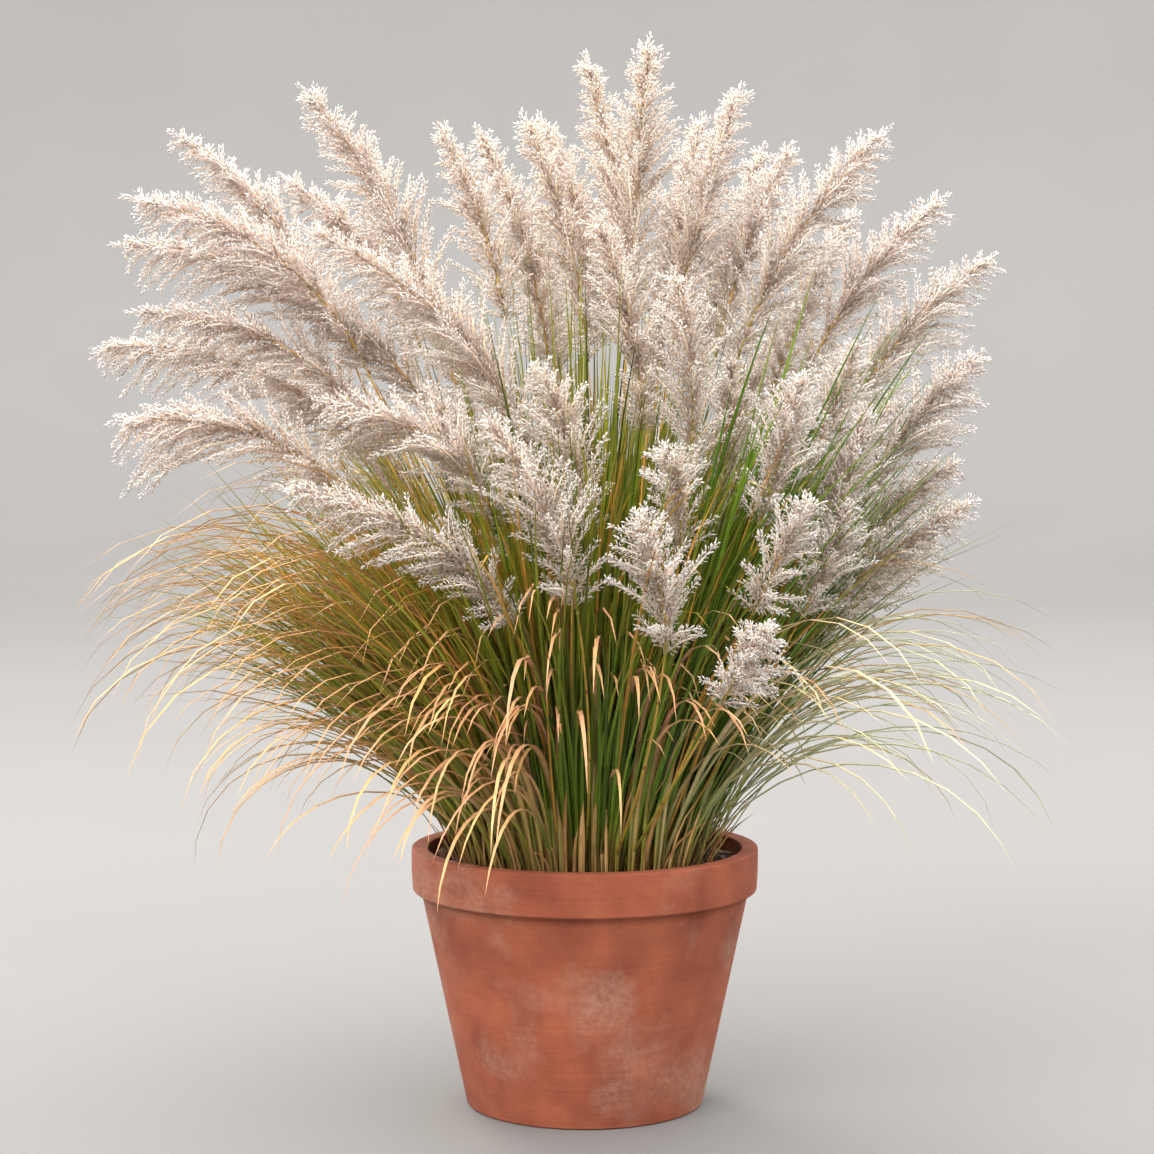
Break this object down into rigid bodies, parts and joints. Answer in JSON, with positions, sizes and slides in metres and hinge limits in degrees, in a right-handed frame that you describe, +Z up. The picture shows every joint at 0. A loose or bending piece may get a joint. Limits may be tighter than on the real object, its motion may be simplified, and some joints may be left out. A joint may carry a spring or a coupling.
{
  "type": "potted ornamental grass",
  "caption": "Clump-forming feather reed grass in a plain round pot: upright green blades, arching straw leaves and tall culms with feathery pink-cream panicles.",
  "frame": {"origin": "centre of the pot's flat base, on the surface that the pot stands on", "axes": "+Z up along the pot's axis; -Y towards the viewer of the picture; +X to the viewer's right"},
  "size_m": [1.2829, 1.1171, 1.3529],
  "materials": {
    "pot_clay": "matte, slightly chalky fired clay",
    "soil_mulch": "rough bark mulch over soil",
    "green_leaf": "satin living leaf",
    "straw_leaf": "dry satin straw",
    "panicle": "dry, soft, slightly translucent"
  },
  "bodies": {
    "root": {"pot": "pot_clay", "soil": "soil_mulch", "leafy_clump": "green_leaf", "straw_leaves": "straw_leaf", "panicle_crest_1": "panicle", "panicle_crest_2": "panicle", "panicle_crest_3": "panicle", "panicle_crest_4": "panicle", "panicle_crest_5": "panicle", "panicle_crest_6": "panicle", "panicle_crest_7": "panicle", "panicle_crest_8": "panicle", "panicle_crest_9": "panicle", "panicle_crest_10": "panicle", "panicle_crest_11": "panicle", "panicle_right_1": "panicle", "panicle_right_2": "panicle", "panicle_right_3": "panicle", "panicle_right_4": "panicle", "panicle_right_5": "panicle", "panicle_right_6": "panicle", "panicle_right_7": "panicle", "panicle_left_1": "panicle", "panicle_left_2": "panicle", "panicle_left_3": "panicle", "panicle_left_4": "panicle", "panicle_left_5": "panicle", "panicle_left_6": "panicle", "panicle_left_7": "panicle", "panicle_left_8": "panicle", "panicle_left_9": "panicle", "panicle_left_10": "panicle", "panicle_left_11": "panicle", "panicle_front_16": "panicle", "panicle_front_1": "panicle", "panicle_front_2": "panicle", "panicle_front_3": "panicle", "panicle_front_4": "panicle", "panicle_front_5": "panicle", "panicle_front_6": "panicle", "panicle_front_7": "panicle", "panicle_front_8": "panicle", "panicle_front_9": "panicle", "panicle_front_10": "panicle", "panicle_front_11": "panicle", "panicle_front_12": "panicle", "panicle_front_13": "panicle", "panicle_front_14": "panicle", "panicle_front_15": "panicle", "panicle_rear_1": "panicle", "panicle_rear_2": "panicle", "panicle_rear_3": "panicle", "panicle_rear_4": "panicle", "panicle_rear_5": "panicle", "panicle_rear_6": "panicle", "panicle_rear_7": "panicle", "panicle_rear_8": "panicle", "panicle_rear_9": "panicle", "panicle_rear_10": "panicle", "panicle_rear_11": "panicle"}
  },
  "joints": []
}
